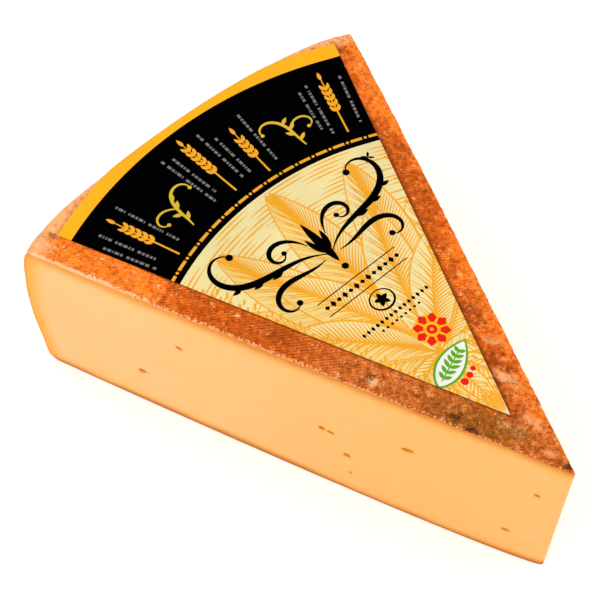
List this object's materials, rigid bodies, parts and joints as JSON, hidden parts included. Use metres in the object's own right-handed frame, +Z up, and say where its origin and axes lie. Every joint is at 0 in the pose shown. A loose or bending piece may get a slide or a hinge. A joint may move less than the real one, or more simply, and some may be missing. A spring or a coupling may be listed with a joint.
{
  "type": "mountain cheese wedge",
  "caption": "Wedge of a round, hard mountain cheese with smooth cut faces, small slits, an orange cloth-marked rind and a thin paper label glued on its top.",
  "frame": {"origin": "middle of the outline's box, on the underside", "axes": "+Z up; the front cut runs along X with the wedge's point at +X and the wheel's rim at -X; -Y is in front of the front cut"},
  "size_m": [0.2962, 0.2104, 0.108],
  "materials": {
    "cheese": "satin",
    "label_paper": "matte"
  },
  "bodies": {
    "root": {"cheese_wedge": "cheese", "label": "label_paper"}
  },
  "joints": []
}
